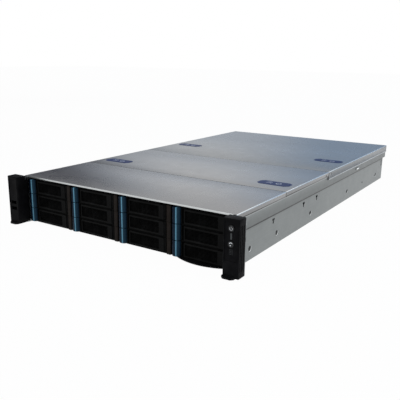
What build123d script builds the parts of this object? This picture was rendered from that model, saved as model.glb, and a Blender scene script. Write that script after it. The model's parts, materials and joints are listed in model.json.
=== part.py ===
from build123d import *
import os

# Rack server two units high with twelve drive bays in front.
# Millimetres. X runs across, Y to the rear, Z up.
# The functions measure Y from the back of the rack flanges and Z from the underside.
# The saved solids have their origin midway between the two rack holes, on that same plane.

# Drives and their carriers, which set the width of the body
drive_width = 101.6
drive_length = 147.0
drive_side_gap = 0.2
carrier_rail = 2.0
carrier_side_gap = 0.7
bezel_edge_gap = 0.2
columns = 4
rows = 3
row_pitch = 26.6
row_lift = 0.4

# Whole body
rear_y = 785.0
cover_front_y = 5.0
sheet = 1.0
bend_radius = 1.4
side_recess = 6.5
band_height = 30.0
cover_over_cage = 2.8

# Clearances
cover_gap = 0.3
seat_gap = 0.2
tray_gap = 0.4
button_gap = 0.3
pin_gap = 0.1
shaft_gap = 0.05
cage_gap = 0.1

# Overlaps of cutting tools and of pieces that are joined
overcut = 1.0
join = 0.1

# Rack flanges
flange_thickness = 1.2
flange_reach = 17.8
flange_low_z = 1.5
flange_drop = 1.0
floor_front_y = 12.0

# Rack hole standard
rack_hole_from_edge = 8.75
rack_hole_z = 43.65
rack_hole_radius = 3.4
rack_hole_depth = 12.0

# Holes of the recessed sides
rail_hole_z = 19.5
rail_hole_radius = 2.6
rail_hole_dimple = 1.4
rail_hole_cone = 0.4
rail_hole_front_ys = (59.0, 154.0, 300.0, 511.0)
rail_hole_from_rear = 56.5
key_slot_below_step = 13.5
key_slot_ys = (139.0, 265.0, 328.5)
key_slot_width = 4.0
key_slot_height = 9.0
key_slot_head = 9.0
key_slot_head_height = 3.6
rear_slot_from_rear = 11.0
rear_slot_width = 3.0
rear_slot_height = 14.0
lance_y = 555.0
lance_length = 20.0
lance_below_flange = 7.0
lance_height = 4.0

# Covers
front_seam_y = 170.0
rear_seam_y = 368.0
seam_gap = 1.0
short_flange = 9.0
deep_flange = 16.0
front_lip = 3.0
rear_lip = 4.0
hem_thickness = 0.5
hem_height = 2.0
flange_hole_radius = 1.7
flange_hole_from_seam = 13.5
flange_hole_drop = 5.5

# Touch pads
pad_length = 62.0
pad_width = 28.0
pad_end_width = 14.0
pad_thickness = 0.8
pad_sunk = 0.5
pad_from_side = 43.5
middle_pad_from_seam = 46.0
rear_pad_from_seam = 115.0

# Drive cage
cage_sheet = 0.8
cage_divider = 1.0
cage_behind_carriers = 6.0
guide_width = 1.6
guide_below = 0.5
guide_above = 0.7

# Bezel of a carrier, from its left edge and from its front
bezel_front_y = 5.0
button_bay_width = 18.0
button_wall_gap = 0.5
bay_divider = 2.0
bezel_plate = 1.2
plate_recess = 2.0
catch_room = 5.8
bay_back_wall = 7.0
band_width = 8.2
band_round = 1.2
air_window_side = 4.0
air_window_end = 5.0

# Release bar
bar_width = 16.4
bar_side_gap = 0.8
bar_proud = 2.4
bar_crown = 5.0
bar_side = 7.4
bar_end_gap = 0.4
bar_travel = 2.5
stem_width = 8.0
stem_height = 12.0
stem_pocket_skin = 1.2

# Pull lever
lever_left = 23.6
lever_plate = 4.2
lever_recess = 1.0
lever_edge_gap = 0.5
lever_nose = 0.8
lever_heel = 1.2
pivot_from_right = 13.9
pivot_setback = 0.2
knuckle_radius = 3.0
pin_radius = 1.5
pin_end_gap = 0.1
window_inset_left = 2.0
window_inset_right = 9.5
window_inset_end = 3.2
window_sink = 0.8
slats = 5
slat_height = 1.2
catch_depth = 6.0
catch_width = 2.2

# Rails and strap of a carrier
drive_behind_bezel = 4.0
strap_behind_drive = 1.2
carrier_lift = 1.0
carrier_rail_height = 20.0
carrier_strap = 3.8
carrier_strap_thickness = 1.0

# Backplane
backplane_thickness = 2.0
backplane_side_gap = 1.0
backplane_lift = 1.0
socket_length = 33.0
socket_height = 6.0
socket_depth = 9.5
socket_from_left = 10.0
socket_lift = 6.0
air_cut_margin = 6.0
air_cut_end = 5.0

# Fans
fan_behind_cage = 36.0
fan_headroom = 5.0
fan_lift = 0.5
fan_depth = 38.0
fan_corner = 3.0
fan_wall_sheet = 1.5
fan_wall_side_gap = 0.3
fan_wall_above_fan = 1.5
duct_wall = 2.4
tip_gap = 1.4
hub_radius = 17.5
hub_front = 5.0
hub_to_motor = 3.0
hub_bevel = 1.5
blades = 7
blade_thickness = 1.8
blade_angle = 38.0
blade_inset = 1.0
blade_root = 4.0
motor_inset = 0.5
motor_length = 6.0
shaft_radius = 2.5
shaft_reach = 14.0
shaft_end_gap = 0.5
strut_width = 4.0
strut_front = 2.0
struts = 3

# Main board
board_side_gap = 4.0
board_to_psu_wall = 20.5
board_depth = 305.0
board_from_rear = 5.0
board_thickness = 1.6
standoff_height = 6.5
standoff_radius = 3.0
standoff_inset = 8.0
standoff_inset_front = 10.0
standoff_inset_rear = 12.0
cpu_size = 62.0
cpu_height = 8.0
cpu_middle_gap = 5.0
cpu_ahead = 12.0
memory_front = 3.0
memory_length = 142.0
memory_width = 6.5
memory_height = 8.0
memory_pitch = 10.2
memory_from_cpu = 8.0
card_pitch = 20.32
card_from_right = 6.08
card_from_ports = 37.0
card_socket_width = 7.5
card_socket_height = 11.0
card_socket_rear = 62.0
card_behind_memory = 9.0

# Rear ports of the main board, by their distance from its left edge
port_depth = 21.0
port_wall = 0.9
port_back_wall = 3.0
network_width = 15.9
network_height = 13.4
network_offsets = (42.0, 61.0, 80.0)
usb_width = 14.6
usb_height = 7.0
usb_offsets = (18.0, 99.0)
usb_levels = 2
display_width = 31.0
display_height = 12.4
display_offset = 132.0

# Rear panel
panel_thickness = 1.2
panel_gap = 0.2
port_window_inset = 6.0
port_window_width = 159.0
port_window_low = 7.0
port_window_below_step = 7.0
card_window_width = 14.0
card_window_low = 12.0
card_window_drop = 9.0
card_cover_margin = 1.5
card_cover_lift = 0.6
card_slots = 4
card_slot_width = 6.0
card_slot_height = 8.0
card_slot_margin = 8.0
vent_columns = 10
vent_rows = 2
vent_width = 11.0
vent_height = 9.0
vent_bar = 3.0
vent_above_ports = 6.0

# Power supplies
psu_width = 73.5
psu_length = 186.0
psu_side_space = 2.5
psu_low_z = 1.8
psu_top_space = 1.6
psu_row_gap = 1.8
psu_proud = 2.0
psu_chamfer = 0.8
psu_shelf = 1.0
psu_wall = 1.0
psu_side_gap = 0.5
psu_window_gap = 0.3
psu_bay_setback = 4.0
inlet_width = 27.0
inlet_height = 20.0
inlet_depth = 18.0
inlet_from_left = 4.0
inlet_lift = 12.0
grille_slots = 5
grille_slot_height = 2.4
grille_slot_width = 30.0
grille_from_left = 35.0
grille_depth = 3.0
grille_margin = 5.0
grip_reach = 22.0
grip_bar = 4.0
grip_height = 9.0
grip_width = 34.0
grip_from_left = 30.0
grip_lift = 4.0
latch_width = 3.2
latch_inset = 0.6
latch_reach = 14.0
latch_height = 18.0
latch_tail = 30.0
latch_travel = 3.0
latch_hook = 1.0
latch_tip = 3.0

# Rack ears
ear_front_y = -20.0
ear_low_z = 1.0
ear_rise = 1.0
ear_chamfer = 1.6
ear_lip_reach = 7.0
ear_lip_height = 3.2
ear_lip_width = 21.0
ear_lip_inset = 0.5
ear_lip_bevel = 4.0
ear_liner = 0.5
ear_liner_gap = 0.4
ear_liner_drop = 2.0
groove_width = 1.6
groove_depth = 0.8
groove_pitch = 4.6
groove_from_back = 4.0
groove_end = 10.0
grooves = 3
face_recess = 1.0
face_low_z = 26.0
face_margin = 2.6
face_top_margin = 4.0
power_drop = 14.0
button_spacing = 23.0
round_button_radius = 4.6
round_button_proud = 0.8
round_button_length = 5.0
round_button_travel = 1.0
front_usb_width = 13.2
front_usb_height = 5.8
front_usb_depth = 12.0
front_usb_zs = (29.0, 40.0)

# Information tag
tag_from_side = 10.0
tag_width = 88.0
tag_length = 100.0
tag_front_y = 8.0
tag_thickness = 0.8
tag_lift = 0.1
tag_space = 0.5
tag_lip_height = 1.7
tag_lip_drop = 0.3
tag_bulge = 11.5

# Screws
screw_head_radius = 3.0
screw_head_height = 1.8
screw_bevel = 0.7
ear_screw_from_edge = 12.3
ear_screw_zs = (14.0, 74.0)
panel_screw_inset = 6.0
panel_screw_side_z = 30.0
panel_screw_end = 8.0
panel_screw_from_card = 18.0
panel_screw_from_psu = 6.5
panel_screw_psu_z = 45.0

# Widths worked out from the sizes above
column_pitch = drive_width + 2 * (drive_side_gap + carrier_rail + carrier_side_gap + bezel_edge_gap)
bays_half = columns * column_pitch / 2
bezel_width = column_pitch - 2 * bezel_edge_gap
cell_width = column_pitch - cage_divider
carrier_width = bezel_width - 2 * carrier_side_gap
cage_half = bays_half - cage_divider / 2 + cage_sheet
rail_inner = cage_half + cage_gap
rail_half = rail_inner + sheet
cover_half = rail_half + side_recess
band_half = cover_half - sheet - cover_gap
band_inner = band_half - sheet
flange_half = cover_half + flange_reach
rack_hole_x = flange_half - rack_hole_from_edge
pivot_x = bezel_width - pivot_from_right
pad_x = cover_half - pad_from_side
tag_right_x = rail_inner - tag_from_side
tag_left_x = tag_right_x - tag_width
psu_right_x = rail_inner - psu_side_space
psu_left_x = psu_right_x - psu_width
psu_wall_x = psu_left_x - psu_side_gap - psu_wall
board_left_x = -rail_inner + board_side_gap
board_right_x = psu_wall_x - board_to_psu_wall
port_window_left = board_left_x + port_window_inset
port_window_right = port_window_left + port_window_width
last_card_x = board_right_x - card_from_right
card_room = last_card_x - port_window_right - card_from_ports
card_sockets = int(card_room / card_pitch + 0.01) + 1
first_card_x = last_card_x - (card_sockets - 1) * card_pitch
cpu_reach = (board_right_x - board_left_x) / 4 - cpu_middle_gap / 2
memory_room = cpu_reach - cpu_size / 2 - memory_from_cpu - memory_width / 2
memory_per_side = int(memory_room / memory_pitch) + 1
ear_inner_x = bays_half - bezel_edge_gap
ear_middle_x = (ear_inner_x + flange_half) / 2

# Heights worked out from the sizes above
first_row_z = sheet + cage_sheet + row_lift
bezel_height = row_pitch - tray_gap
bay_top_z = first_row_z + rows * row_pitch
cage_top_z = bay_top_z + row_lift + cage_sheet
cover_under_z = cage_top_z + cover_over_cage
body_height = cover_under_z + sheet
wall_top_z = cover_under_z - seat_gap
side_step_z = body_height - band_height
flange_high_z = body_height - flange_drop
key_slot_z = side_step_z - key_slot_below_step
lance_z = body_height - deep_flange - lance_below_flange
lever_low = bezel_plate + lever_edge_gap
lever_high = bezel_height - bezel_plate - lever_edge_gap
fan_size = cover_under_z - sheet - fan_headroom
fan_z = sheet + fan_lift + fan_size / 2
duct_radius = fan_size / 2 - duct_wall
blade_tip_radius = duct_radius - tip_gap
motor_radius = hub_radius - motor_inset
board_z = sheet + standoff_height
board_top_z = board_z + board_thickness
port_window_high = side_step_z - port_window_below_step
card_window_high = body_height - card_window_drop
psu_pitch = (wall_top_z - psu_low_z - psu_top_space) / 2
psu_height = psu_pitch - psu_row_gap
ear_high_z = body_height + ear_rise
power_z = ear_high_z - power_drop
uid_z = power_z - button_spacing

# Lengths worked out from the sizes above
bar_apex_y = bezel_front_y - bar_proud
bar_edge_y = bar_apex_y + bar_crown
bar_back_y = bar_edge_y + bar_side
button_wall_y = bar_back_y + bar_travel + button_wall_gap
plate_front_y = bezel_front_y + plate_recess
lever_front_y = bezel_front_y + lever_recess
lever_back_y = lever_front_y + lever_plate
pivot_y = lever_back_y + pivot_setback
lever_bay_back_y = lever_back_y + catch_depth + catch_room
bezel_back_y = lever_bay_back_y + bay_back_wall
stem_end_y = bezel_back_y - stem_pocket_skin - bar_travel - button_gap
drive_front_y = bezel_back_y + drive_behind_bezel
drive_back_y = drive_front_y + drive_length
carrier_back_y = drive_back_y + strap_behind_drive + carrier_strap
cage_front_y = bezel_back_y + button_gap
cage_back_y = carrier_back_y + cage_behind_carriers
tag_back_y = tag_front_y + tag_length
fan_front_y = cage_back_y + fan_behind_cage
fan_back_y = fan_front_y + fan_depth
motor_start_y = fan_back_y - motor_length
hub_start_y = fan_front_y + hub_front
hub_length = motor_start_y - hub_to_motor - hub_start_y
board_rear_y = rear_y - board_from_rear
board_front_y = board_rear_y - board_depth
memory_front_y = board_front_y + memory_front
cpu_y = memory_front_y + memory_length / 2 - cpu_ahead
card_socket_back_y = board_rear_y - card_socket_rear
card_socket_front_y = memory_front_y + memory_length + card_behind_memory
panel_front_y = rear_y - panel_thickness
psu_back_y = rear_y + psu_proud
psu_front_y = psu_back_y - psu_length
psu_bay_y = psu_front_y + psu_bay_setback
ear_back_y = -flange_thickness
face_floor_y = ear_front_y + face_recess


def block(x0, x1, y0, y1, z0, z1):
    """A box between two opposite corners."""
    centre = Pos((x0 + x1) / 2, (y0 + y1) / 2, (z0 + z1) / 2)
    return centre * Box(x1 - x0, y1 - y0, z1 - z0)


def rod(x, y, z, radius, length, axis):
    """A round bar that starts at a point and runs along +X, +Y or +Z."""
    turns = {"x": Rot(0, 90, 0), "y": Rot(-90, 0, 0), "z": Rot(0, 0, 0)}
    bar = Cylinder(radius, length, align=(Align.CENTER, Align.CENTER, Align.MIN))
    return Pos(x, y, z) * turns[axis] * bar


def along_y(points, y0, y1):
    """An outline of (x, z) points, extruded from y0 to y1."""
    face = Plane.XZ.offset(-y0) * make_face(Polyline(*points, close=True))
    return extrude(face, amount=-(y1 - y0))


def along_z(points, z0, z1):
    """An outline of (x, y) points, extruded from z0 to z1."""
    face = Plane.XY.offset(z0) * make_face(Polyline(*points, close=True))
    return extrude(face, amount=z1 - z0)


def mirrored_outline(half):
    """Closes the right half of an outline with its mirror image."""
    return half + [(-x, z) for x, z in reversed(half)]


def both_sides(corners):
    return corners + [(-x, z) for x, z in corners]


def separate(shapes):
    """One node of several solids."""
    return Compound(children=[solid for shape in shapes for solid in shape.solids()])


def round_long_edges(shape, corners, radius):
    """Rounds the edges that run along Y through the given (x, z) corners."""
    near = []
    for edge in shape.edges().filter_by(Axis.Y):
        middle = edge.center()
        if any(abs(middle.X - x) < 0.01 and abs(middle.Z - z) < 0.01 for x, z in corners):
            near.append(edge)
    return fillet(near, radius)


def rail_hole(y, side):
    """A dimpled hole through a recessed side: a shallow cone outside, then a straight wall."""
    hole = rod(rail_inner - sheet, y, rail_hole_z, rail_hole_radius, 3 * sheet, "x")
    cone = Cone(rail_hole_radius, rail_hole_radius + rail_hole_dimple, rail_hole_cone)
    cone = Pos(rail_half - rail_hole_cone / 2, y, rail_hole_z) * Rot(0, 90, 0) * cone
    cut = hole + cone
    if side < 0:
        cut = mirror(cut, Plane.YZ)
    return cut


def side_cut(side, y, width, z0, z1):
    """A rectangular tool through one recessed side."""
    middle = side * (rail_inner + sheet / 2)
    return block(middle - sheet, middle + sheet, y - width / 2, y + width / 2, z0, z1)


def key_slot(y, side):
    """A T-shaped slot that takes the head of a rail stud."""
    low = key_slot_z - key_slot_height / 2
    high = key_slot_z + key_slot_height / 2
    stem = side_cut(side, y, key_slot_width, low, high)
    return stem + side_cut(side, y, key_slot_head, high - key_slot_head_height, high)


def make_chassis_base():
    """The folded tub, with its rack flanges turned outwards in front."""
    step = side_step_z + sheet
    outer = [(rail_half, 0), (rail_half, side_step_z)]
    outer += [(band_half, side_step_z), (band_half, wall_top_z)]
    inner = [(band_inner, wall_top_z), (band_inner, step), (rail_inner, step), (rail_inner, sheet)]
    tub = along_y(mirrored_outline(outer + inner), 0, rear_y)
    tub = round_long_edges(tub, both_sides([(rail_half, 0), (band_half, side_step_z)]), bend_radius)
    tub -= block(-rail_inner, rail_inner, -overcut, floor_front_y, -overcut, sheet)
    for side in (-1, 1):
        x0, x1 = sorted((side * rail_inner, side * flange_half))
        flange = block(x0, x1, -flange_thickness, 0, flange_low_z, flange_high_z)
        start = -2 * flange_thickness
        flange -= rod(side * rack_hole_x, start, rack_hole_z, rack_hole_radius, 3 * flange_thickness, "y")
        tub += flange
        for y in rail_hole_front_ys + (rear_y - rail_hole_from_rear,):
            tub -= rail_hole(y, side)
        for y in key_slot_ys:
            tub -= key_slot(y, side)
        low = key_slot_z - rear_slot_height / 2
        high = key_slot_z + rear_slot_height / 2
        tub -= side_cut(side, rear_y - rear_slot_from_rear, rear_slot_width, low, high)
        tub += lanced_tab(side)
    return tub


def lanced_tab(side):
    """A tab pressed outwards from the wide band, with sloping ends."""
    proud = sheet + cover_gap
    base = side * (band_half - join)
    top = side * (band_half + proud)
    start = lance_y - lance_length / 2
    end = lance_y + lance_length / 2
    points = [(base, start), (top, start + proud), (top, end - proud), (base, end)]
    return along_z(points, lance_z - lance_height / 2, lance_z + lance_height / 2)


def pad_outline(x, y):
    """A long eight-sided pad with tapered ends."""
    half = pad_length / 2
    wide = pad_width / 2
    narrow = pad_end_width / 2
    straight = half - (wide - narrow)
    right = [(half, -narrow), (half, narrow), (straight, wide)]
    left = [(-px, -py) for px, py in right]
    corners = [(straight, -wide)] + right + [(-straight, wide)] + left
    return [(x + px, y + py) for px, py in corners]


def folded_cover(y0, y1, flange_depth):
    """A cover sheet with both side flanges, its long bends rounded."""
    low = body_height - flange_depth
    inside = cover_half - sheet
    half = [(cover_half, body_height), (cover_half, low), (inside, low), (inside, cover_under_z)]
    cover = along_y(mirrored_outline(half), y0, y1)
    return round_long_edges(cover, both_sides([(cover_half, body_height)]), bend_radius)


def flange_holes(y):
    """A small hole through each side flange."""
    z = body_height - flange_hole_drop
    cuts = rod(cover_half - 2 * sheet, y, z, flange_hole_radius, 3 * sheet, "x")
    return cuts + mirror(cuts, Plane.YZ)


def with_pads(cover, y):
    """The cover with its two pads, each a separate solid sunk in a pocket."""
    pads = []
    for x in (-pad_x, pad_x):
        pad = along_z(pad_outline(x, y), body_height - pad_sunk, body_height - pad_sunk + pad_thickness)
        cover -= pad
        pads.append(pad)
    return separate([cover] + pads)


def make_front_top_cover():
    cover = folded_cover(cover_front_y, front_seam_y - seam_gap / 2, short_flange)
    half = band_inner - seat_gap
    low = body_height - front_lip
    return cover + block(-half, half, cover_front_y, cover_front_y + sheet, low, cover_under_z + join)


def make_middle_cover():
    start = front_seam_y + seam_gap / 2
    end = rear_seam_y - seam_gap / 2
    cover = folded_cover(start, end, short_flange)
    cover -= flange_holes(end - flange_hole_from_seam)
    return with_pads(cover, front_seam_y + middle_pad_from_seam)


def make_rear_cover():
    start = rear_seam_y + seam_gap / 2
    end = rear_y + cover_gap
    cover = folded_cover(start, end + sheet, deep_flange)
    half = cover_half - bend_radius
    cover += block(-half, half, end, end + sheet, body_height - rear_lip, cover_under_z + join)
    low = body_height - deep_flange
    for side in (-1, 1):
        x0, x1 = sorted((side * cover_half, side * (cover_half + hem_thickness)))
        cover += block(x0, x1, start, end + sheet, low, low + hem_height)
    cover -= flange_holes(start + flange_hole_from_seam)
    return with_pads(cover, rear_seam_y + rear_pad_from_seam)


def column_left(column):
    """The left edge of a column of bays."""
    return column * column_pitch - bays_half


def cage_bottom():
    """The bottom sheet of the cage, with the pocket of the information tag."""
    low = sheet
    high = sheet + cage_sheet
    bottom = block(-cage_half, cage_half, cage_front_y, cage_back_y, low, high)
    x0 = tag_left_x - tag_space
    x1 = tag_right_x + tag_space
    return bottom - block(x0, x1, bezel_back_y, tag_back_y + tag_space, 0, high + overcut)


def make_drive_cage():
    """Bottom and top sheets, upright walls, and a guide rib under each carrier rail."""
    low = sheet + cage_sheet
    high = cage_top_z - cage_sheet
    pieces = [cage_bottom()]
    pieces.append(block(-cage_half, cage_half, cage_front_y, cage_back_y, high, cage_top_z))
    for side in (-1, 1):
        x0, x1 = sorted((side * cage_half, side * (cage_half - cage_sheet)))
        pieces.append(block(x0, x1, cage_front_y, cage_back_y, low, high))
    for column in range(columns):
        left = column_left(column) + cage_divider / 2
        right = left + cell_width
        if column > 0:
            pieces.append(block(left - cage_divider, left, cage_front_y, cage_back_y, low, high))
        for row in range(rows):
            z = first_row_z + row * row_pitch
            for x in (left, right - guide_width):
                rib = block(x, x + guide_width, cage_front_y, cage_back_y, z - guide_below, z + guide_above)
                pieces.append(rib)
    return separate(pieces)


def bar_outline():
    """Plan of the release bar: flat sides and a half-round front."""
    left = bar_side_gap
    right = bar_side_gap + bar_width
    arc = ThreePointArc((left, bar_edge_y), ((left + right) / 2, bar_apex_y), (right, bar_edge_y))
    back = Polyline((right, bar_edge_y), (right, bar_back_y), (left, bar_back_y), (left, bar_edge_y))
    return make_face([arc, back])


def stem_block(y0, y1, gap):
    """The stem of the release bar, or its pocket with a gap all round."""
    x = bar_side_gap + bar_width / 2
    z = bezel_height / 2
    half_width = stem_width / 2 + gap
    half_height = stem_height / 2 + gap
    return block(x - half_width, x + half_width, y0, y1, z - half_height, z + half_height)


def make_release_button():
    """The blue bar and the stem that guides it in the bezel."""
    low = bar_end_gap
    high = bezel_height - bar_end_gap
    bar = extrude(Plane.XY.offset(low) * bar_outline(), amount=high - low)
    return bar + stem_block(bar_back_y - join, stem_end_y, 0)


def make_bezel():
    """The front of a carrier, with its lever bay and the pocket of the release bar."""
    band_left = bezel_width - band_width
    band_side_y = bezel_front_y + band_round
    outline = [
        (0, button_wall_y),
        (button_bay_width, button_wall_y),
        (button_bay_width, plate_front_y),
        (band_left, plate_front_y),
        (band_left, band_side_y),
        (band_left + band_round, bezel_front_y),
        (bezel_width - band_round, bezel_front_y),
        (bezel_width, band_side_y),
        (bezel_width, bezel_back_y),
        (0, bezel_back_y),
    ]
    bezel = along_z(outline, 0, bezel_height)
    bay_left = button_bay_width + bay_divider
    bezel -= block(bay_left, band_left, 0, lever_bay_back_y, bezel_plate, bezel_height - bezel_plate)
    x0 = lever_left + air_window_side
    x1 = pivot_x - window_inset_right
    high = bezel_height - air_window_end
    bezel -= block(x0, x1, lever_bay_back_y - overcut, bezel_back_y + overcut, air_window_end, high)
    bezel -= stem_block(button_wall_y - overcut, bezel_back_y - stem_pocket_skin, button_gap)
    return bezel - rod(pivot_x, pivot_y, -overcut, pin_radius + pin_gap, bezel_height + 2 * overcut, "z")


def make_tray():
    """A carrier: the bezel, with two side rails and a rear strap fastened to it."""
    left = carrier_side_gap
    right = left + carrier_width
    low = carrier_lift
    top = low + carrier_rail_height
    rails = []
    for x in (left, right - carrier_rail):
        rails.append(block(x, x + carrier_rail, bezel_back_y, carrier_back_y, low, top))
    strap_top = low + carrier_strap_thickness
    strap_y = carrier_back_y - carrier_strap
    strap = block(left + carrier_rail, right - carrier_rail, strap_y, carrier_back_y, low, strap_top)
    return separate([make_bezel()] + rails + [strap])


def make_lever():
    """The slatted pull lever with its knuckle, pins and catch."""
    outline = [
        (lever_left + lever_nose, lever_front_y),
        (pivot_x - lever_heel, lever_front_y),
        (pivot_x, lever_back_y),
        (lever_left + catch_width, lever_back_y),
        (lever_left + catch_width, lever_back_y + catch_depth),
        (lever_left, lever_back_y + catch_depth),
        (lever_left, lever_front_y + lever_nose),
    ]
    lever = along_z(outline, lever_low, lever_high)
    lever += rod(pivot_x, pivot_y, lever_low, knuckle_radius, lever_high - lever_low, "z")
    lever += rod(pivot_x, pivot_y, pin_end_gap, pin_radius, bezel_height - 2 * pin_end_gap, "z")
    x0 = lever_left + window_inset_left
    x1 = pivot_x - window_inset_right
    z0 = lever_low + window_inset_end
    z1 = lever_high - window_inset_end
    lever -= block(x0, x1, lever_front_y - overcut, lever_front_y + window_sink, z0, z1)
    gaps = slats + 1
    gap_height = (z1 - z0 - slats * slat_height) / gaps
    for i in range(gaps):
        low = z0 + i * (gap_height + slat_height)
        lever -= block(x0, x1, lever_front_y, lever_back_y + overcut, low, low + gap_height)
    return lever


def make_backplane():
    """The board behind the bays, with an air window and a socket for each."""
    half = rail_inner - backplane_side_gap
    back = cage_back_y + backplane_thickness
    board = block(-half, half, cage_back_y, back, sheet + backplane_lift, cage_top_z)
    sockets = []
    for column in range(columns):
        for row in range(rows):
            x = column_left(column) + bezel_edge_gap
            z = first_row_z + row * row_pitch
            left = x + socket_from_left
            right = left + socket_length
            low = z + socket_lift
            high = low + socket_height
            sockets.append(block(left, right, cage_back_y - socket_depth, cage_back_y, low, high))
            board -= block(
                right + air_cut_margin,
                x + bezel_width - air_cut_margin,
                cage_back_y - overcut,
                back + overcut,
                z + air_cut_end,
                z + bezel_height - air_cut_end,
            )
    return separate([board] + sockets)


def fan_x(number):
    return (number + 0.5) * column_pitch - bays_half


def make_fan_wall():
    """The sheet wall that carries the fans, with a round opening for each."""
    half = rail_inner - fan_wall_side_gap
    start = fan_front_y - fan_wall_sheet
    wall = block(-half, half, start, fan_front_y, sheet, fan_z + fan_size / 2 + fan_wall_above_fan)
    for number in range(columns):
        wall -= rod(fan_x(number), start - overcut, fan_z, duct_radius, fan_wall_sheet + 2 * overcut, "y")
    return wall


def make_fan_frame(number):
    """A square fan frame: its duct, and the motor cup and shaft on three struts."""
    frame = Pos(0, fan_front_y + fan_depth / 2, 0) * Box(fan_size, fan_depth, fan_size)
    frame = fillet(frame.edges().filter_by(Axis.Y), fan_corner)
    frame -= rod(0, fan_front_y - overcut, 0, duct_radius, fan_depth + 2 * overcut, "y")
    frame += rod(0, motor_start_y, 0, motor_radius, motor_length, "y")
    frame += rod(0, motor_start_y - shaft_reach, 0, shaft_radius, shaft_reach + join, "y")
    half = strut_width / 2
    for i in range(struts):
        arm = block(0, duct_radius + join, motor_start_y + strut_front, fan_back_y, -half, half)
        frame += Rot(0, 90 + 360 / struts * i, 0) * arm
    return Pos(fan_x(number), 0, fan_z) * frame


def make_fan_rotor(number):
    """A bevelled hub with pitched blades, bored for its shaft."""
    hub = rod(0, 0, 0, hub_radius, hub_length, "y")
    hub = chamfer(hub.edges().sort_by(Axis.Y)[0], hub_bevel)
    reach = blade_tip_radius - hub_radius + blade_root
    middle = blade_tip_radius - reach / 2 + blade_root / 2
    chord = hub_length - 2 * blade_inset
    blade = Pos(0, hub_length / 2, middle) * Rot(0, 0, blade_angle) * Box(blade_thickness, chord, reach)
    for i in range(blades):
        hub += Rot(0, 360 / blades * i, 0) * blade
    hub &= rod(0, -overcut, 0, blade_tip_radius, hub_length + 2 * overcut, "y")
    bore_depth = shaft_reach - hub_to_motor + shaft_end_gap
    hub -= rod(0, hub_length - bore_depth, 0, shaft_radius + shaft_gap, bore_depth + overcut, "y")
    return Pos(fan_x(number), hub_start_y, fan_z) * hub


def port_shell(x, width, height, z):
    """A rear port: a thin box that is open to the rear."""
    half = width / 2
    front = rear_y - port_depth
    shell = block(x - half, x + half, front, rear_y, z, z + height)
    half -= port_wall
    return shell - block(
        x - half, x + half, front + port_back_wall, rear_y + overcut, z + port_wall, z + height - port_wall
    )


def rear_ports():
    """Network, double-deck serial bus and display ports along the rear of the main board."""
    ports = []
    for offset in network_offsets:
        ports.append(port_shell(board_left_x + offset, network_width, network_height, board_top_z))
    for offset in usb_offsets:
        for level in range(usb_levels):
            z = board_top_z + level * usb_height
            ports.append(port_shell(board_left_x + offset, usb_width, usb_height, z))
    left = board_left_x + display_offset - display_width / 2
    top = board_top_z + display_height
    ports.append(block(left, left + display_width, rear_y - port_depth, rear_y, board_top_z, top))
    return ports


def board_sockets():
    """Processor, memory and card sockets that stand on the main board."""
    sockets = []
    middle = (board_left_x + board_right_x) / 2
    half = cpu_size / 2
    top = board_top_z + cpu_height
    for side in (-1, 1):
        x = middle + side * cpu_reach
        sockets.append(block(x - half, x + half, cpu_y - half, cpu_y + half, board_top_z, top))
        for bank in (-1, 1):
            for i in range(memory_per_side):
                left = x + bank * (half + memory_from_cpu + i * memory_pitch) - memory_width / 2
                right = left + memory_width
                end = memory_front_y + memory_length
                high = board_top_z + memory_height
                sockets.append(block(left, right, memory_front_y, end, board_top_z, high))
    for i in range(card_sockets):
        left = first_card_x + i * card_pitch - card_socket_width / 2
        right = left + card_socket_width
        high = board_top_z + card_socket_height
        sockets.append(block(left, right, card_socket_front_y, card_socket_back_y, board_top_z, high))
    return sockets


def board_standoffs():
    """Three rows of three round stand-offs between the floor and the main board."""
    middle = (board_left_x + board_right_x) / 2
    centre = board_front_y + board_depth / 2
    standoffs = []
    for x in (board_left_x + standoff_inset, middle, board_right_x - standoff_inset):
        for y in (board_front_y + standoff_inset_front, centre, board_rear_y - standoff_inset_rear):
            standoffs.append(rod(x, y, sheet, standoff_radius, standoff_height, "z"))
    return standoffs


def make_motherboard():
    """The main board on its stand-offs, with its sockets and rear ports."""
    board = block(board_left_x, board_right_x, board_front_y, board_rear_y, board_z, board_top_z)
    return separate([board] + board_standoffs() + board_sockets() + rear_ports())


def card_cover(i):
    """A slotted cover over the opening of one card, and the slots that go through the panel."""
    x = first_card_x + i * card_pitch
    half = card_window_width / 2 + card_cover_margin
    back = rear_y + card_cover_lift
    cover = block(x - half, x + half, rear_y - join, back, card_window_low, card_window_high)
    pitch = (card_window_high - card_window_low - card_slot_height) / card_slots
    half = card_slot_width / 2
    start = panel_front_y - overcut
    slots = []
    for level in range(card_slots):
        z = card_window_low + card_slot_margin + level * pitch
        slots.append(block(x - half, x + half, start, rear_y + overcut, z, z + card_slot_height))
    return cover, slots


def panel_plate():
    """The rear wall up to the power supplies, with its port, vent and card openings."""
    step = side_step_z + sheet + panel_gap
    side = rail_inner - panel_gap
    wide = band_inner - panel_gap
    high = wall_top_z - panel_gap
    right = psu_wall_x + psu_wall
    outline = [(right, sheet), (right, high), (-wide, high), (-wide, step), (-side, step), (-side, sheet)]
    panel = along_y(outline, panel_front_y, rear_y)
    y0 = panel_front_y - overcut
    y1 = rear_y + overcut
    panel -= block(port_window_left, port_window_right, y0, y1, port_window_low, port_window_high)
    vent_pitch = port_window_width / vent_columns
    for row in range(vent_rows):
        z = port_window_high + vent_above_ports + row * (vent_height + vent_bar)
        for column in range(vent_columns):
            x = port_window_left + column * vent_pitch
            panel -= block(x, x + vent_width, y0, y1, z, z + vent_height)
    for i in range(card_sockets):
        cover, slots = card_cover(i)
        panel += cover
        for slot in slots:
            panel -= slot
    return panel


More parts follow.
